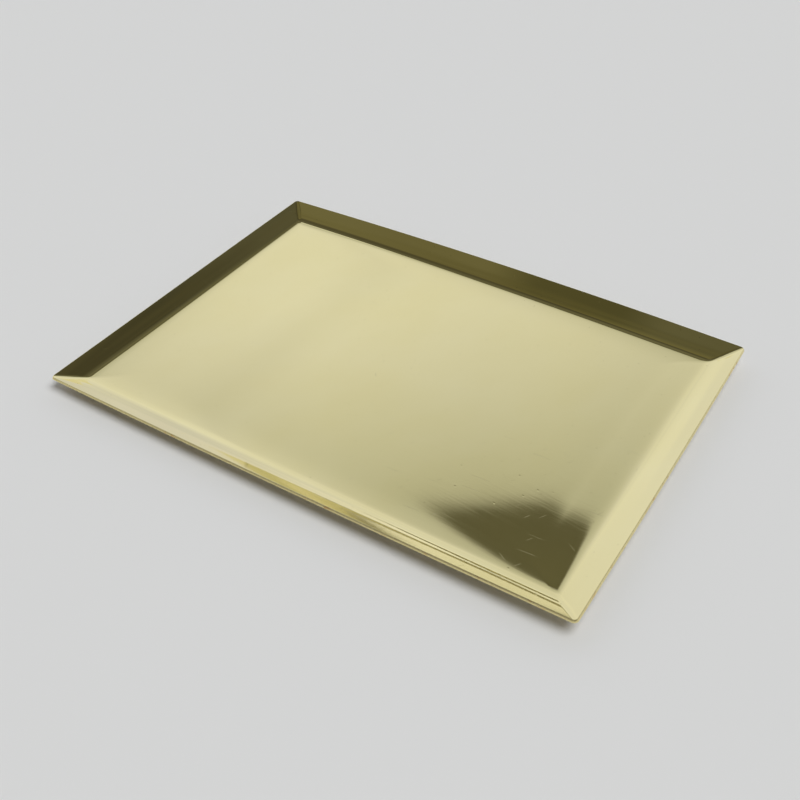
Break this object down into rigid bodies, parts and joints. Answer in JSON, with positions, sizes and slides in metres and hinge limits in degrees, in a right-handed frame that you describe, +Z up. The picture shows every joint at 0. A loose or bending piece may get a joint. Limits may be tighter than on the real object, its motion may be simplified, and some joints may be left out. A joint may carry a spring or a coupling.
{
  "type": "desk tray",
  "caption": "Shallow rectangular polished brass tray with a flat floor, a low flared rim and mitred corners, for laying pens and small writing tools on.",
  "frame": {"origin": "middle of the flat underside, on the surface that the tray stands on", "axes": "+X along the tray's length, +Y along its width, +Z up out of the open top"},
  "size_m": [0.18, 0.13, 0.0052],
  "materials": {
    "brass": "mirror polished, with fine hairline scratches and soft handling marks"
  },
  "bodies": {
    "root": {"tray": "brass"}
  },
  "joints": []
}
